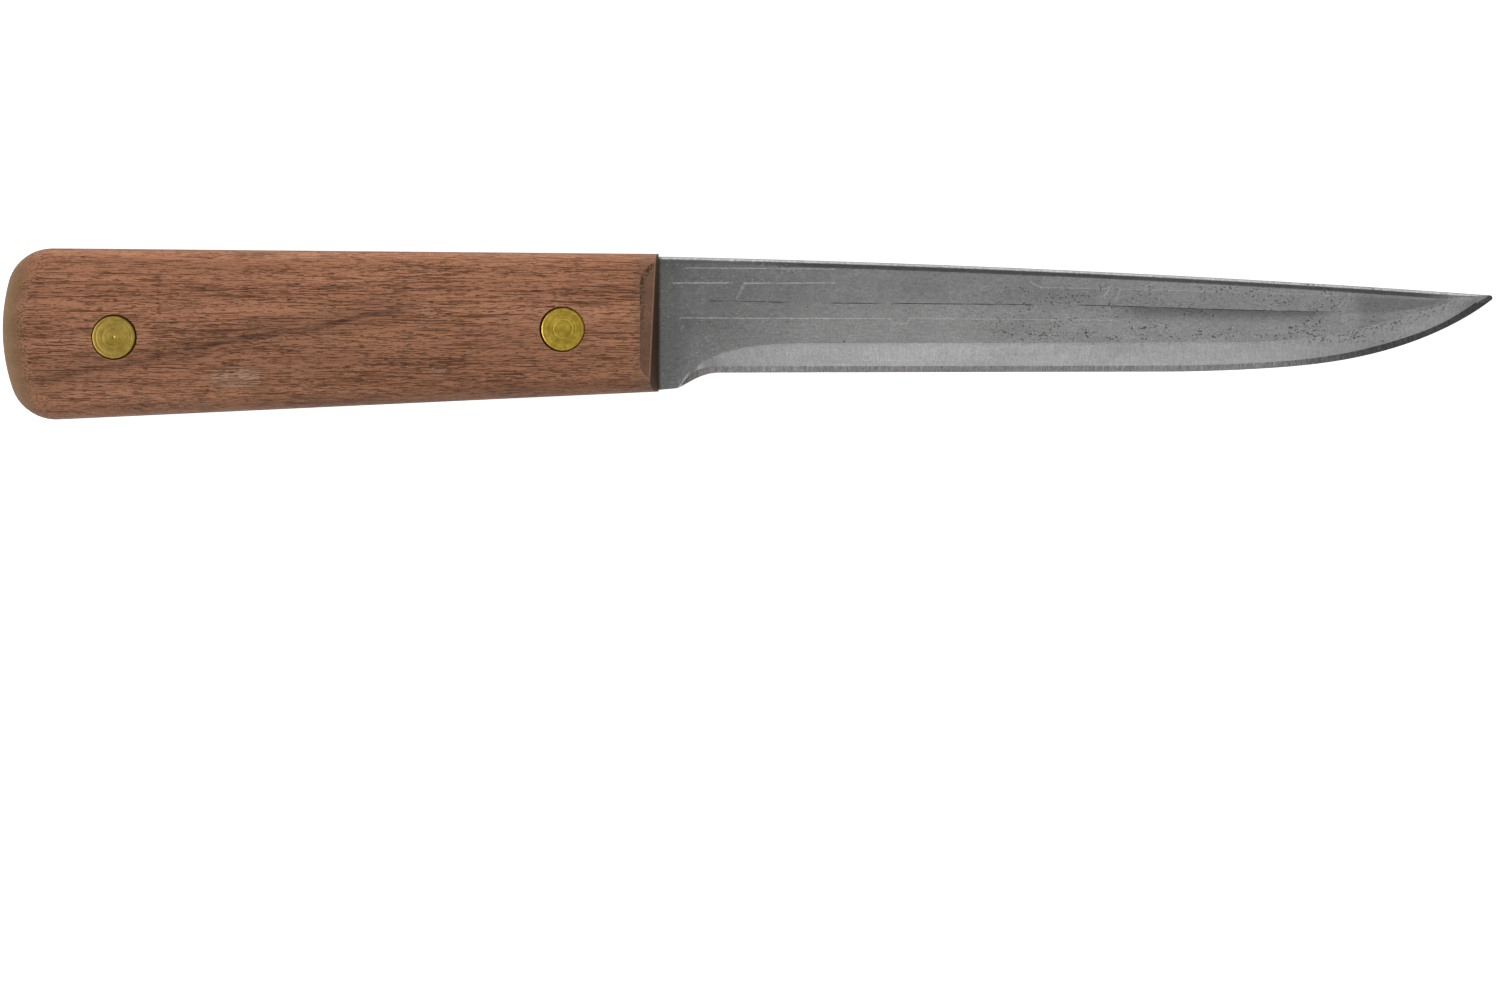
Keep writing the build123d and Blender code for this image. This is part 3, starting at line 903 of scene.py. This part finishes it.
def brass_material(name, center, seed, dull, bright, ring_strength):
    g = Shader(name)
    world_center = (center[0] + FRONT_X, center[1], 0.0)
    x, y, _ = g.split(g.vector("SUBTRACT", g.position, world_center))
    radius = g.math("SQRT", g.math("ADD", g.times(x, x), g.times(y, y)))
    rings = g.noise(g.join(g.times(radius, 3.2), float(seed), 0.0), detail=3, roughness=0.75)
    mottle = g.noise(g.stretch(g.position, 0.7, 0.7, 0.7, (seed, 0, 0)), detail=6, roughness=0.75)
    mixed = g.math("ADD", g.times(rings, ring_strength), g.times(mottle, 1 - ring_strength))
    color = g.colors(mixed, [(0.34, dull), (0.64, bright)])
    below = g.times(g.between(y, -1.9, -0.6, 1.0), g.between(x, -0.6, 0.9, 1.1))
    color = g.mix(g.times(below, 0.45 * ring_strength), color, (0.17, 0.11, 0.012))
    side = g.ramp(radius, 3.97, 4.02)
    color = g.mix(g.times(side, 0.7), color, (0.12, 0.08, 0.02))
    roughness = g.math("MULTIPLY_ADD", mottle, 0.3, 0.28)
    return g.finish(color, roughness, g.bump(rings, 0.008), 1.0)


def dress(obj, material):
    obj.data.materials.clear()
    obj.data.materials.append(material)


dress(blade, steel_material())
dress(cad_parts["right_scale"], wood_material("wood_right", (0.0, 0.0, 0.0), True))
dress(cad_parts["left_scale"], wood_material("wood_left", (57.0, 31.0, 12.0), False))
PATINA = {  # dull and bright tones, and how much the turning rings show
    "rear_rivet": ((0.25, 0.165, 0.022), (0.54, 0.385, 0.095), 0.6),
    "front_rivet": ((0.34, 0.225, 0.013), (0.68, 0.475, 0.090), 0.35),
}
for i, (piece, name, center) in enumerate(rivets):
    dress(piece, brass_material("brass_" + str(i), center, 5 + i, *PATINA[name]))

# Handling has softened the scales' corners
SOFTENING, SOFT_STEPS = 0.22 * MM, 3
SOFTENED_FROM = math.radians(20)  # angle between two faces
for name in ("right_scale", "left_scale"):
    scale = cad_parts[name]
    weld = scale.modifiers.new("weld", "WELD")
    weld.merge_threshold = SLIVER
    soften = scale.modifiers.new("soften", "BEVEL")
    soften.limit_method = "ANGLE"
    soften.angle_limit = SOFTENED_FROM
    soften.width = SOFTENING
    soften.segments = SOFT_STEPS
    soften.use_clamp_overlap = True
    soften.loop_slide = True

# ---------------------------------------------------------------- floor, light and camera

FLOOR_HALF = 4  # metres
FLOOR_CORNERS = [(-FLOOR_HALF, -FLOOR_HALF, 0), (FLOOR_HALF, -FLOOR_HALF, 0), (FLOOR_HALF, FLOOR_HALF, 0),
                 (-FLOOR_HALF, FLOOR_HALF, 0)]
FLOOR_GLOW = 0.68
ROOM_GLOW, BACKDROP_GLOW = 0.32, 1.0  # the world as it lights the knife, and as the camera sees it

floor = new_object("floor", FLOOR_CORNERS, [(0, 1, 2, 3)])
g = Shader("floor_white")
g.surface.inputs["Base Color"].default_value = (0.8, 0.8, 0.8, 1)
g.surface.inputs["Roughness"].default_value = 1.0
g.surface.inputs["Specular IOR Level"].default_value = 0.0
g.surface.inputs["Emission Color"].default_value = (1, 1, 1, 1)
g.surface.inputs["Emission Strength"].default_value = FLOOR_GLOW
dress(floor, g.material)

world = bpy.data.worlds.new("studio")
bpy.context.scene.world = world
world.use_nodes = True
tree = world.node_tree
tree.nodes["Background"].inputs["Color"].default_value = (1, 1, 1, 1)
path = tree.nodes.new("ShaderNodeLightPath")
strength = tree.nodes.new("ShaderNodeMapRange")
strength.inputs["To Min"].default_value = ROOM_GLOW
strength.inputs["To Max"].default_value = BACKDROP_GLOW
tree.links.new(path.outputs["Is Camera Ray"], strength.inputs["Value"])
tree.links.new(strength.outputs[0], tree.nodes["Background"].inputs["Strength"])


def softbox(name, tilt, turn, distance, width, depth, glow):
    """A rectangular light of the given glow, tilt degrees off the vertical, turned from +X towards +Y."""
    t, a = math.radians(tilt), math.radians(turn)
    place = Vector((math.sin(t) * math.cos(a), math.sin(t) * math.sin(a), math.cos(t))) * distance
    light = bpy.data.lights.new(name, "AREA")
    light.shape = "RECTANGLE"
    light.size = width
    light.size_y = depth
    light.energy = glow * math.pi * width * depth
    obj = bpy.data.objects.new(name, light)
    bpy.context.scene.collection.objects.link(obj)
    obj.location = place
    obj.rotation_euler = place.to_track_quat("Z", "Y").to_euler()


softbox("key_left", 50, 184, 1.4, 0.9, 0.9, 6.2)
softbox("fill_right", 58, 15, 1.5, 0.8, 0.8, 1.2)
softbox("fill_front", 55, -90, 1.5, 1.0, 0.6, 1.6)
softbox("card_front", 16, -90, 1.4, 0.9, 0.22, 0.9)

FRAME_WIDTH = 274.17 * MM  # at the height of the blade
DISTANCE = 1.5
SENSOR_WIDTH = 36
CAMERA_X, CAMERA_Y = 0.34 * MM, -30.4 * MM
camera_data = bpy.data.cameras.new("camera")
camera_data.sensor_width = SENSOR_WIDTH
camera_data.lens = SENSOR_WIDTH * DISTANCE / FRAME_WIDTH
camera = bpy.data.objects.new("camera", camera_data)
bpy.context.scene.collection.objects.link(camera)
camera.location = (CAMERA_X, CAMERA_Y, MIDDLE_Z * MM + DISTANCE)
camera.rotation_euler = (0, 0, 0)
bpy.context.scene.camera = camera
bpy.context.scene.view_settings.view_transform = "Standard"
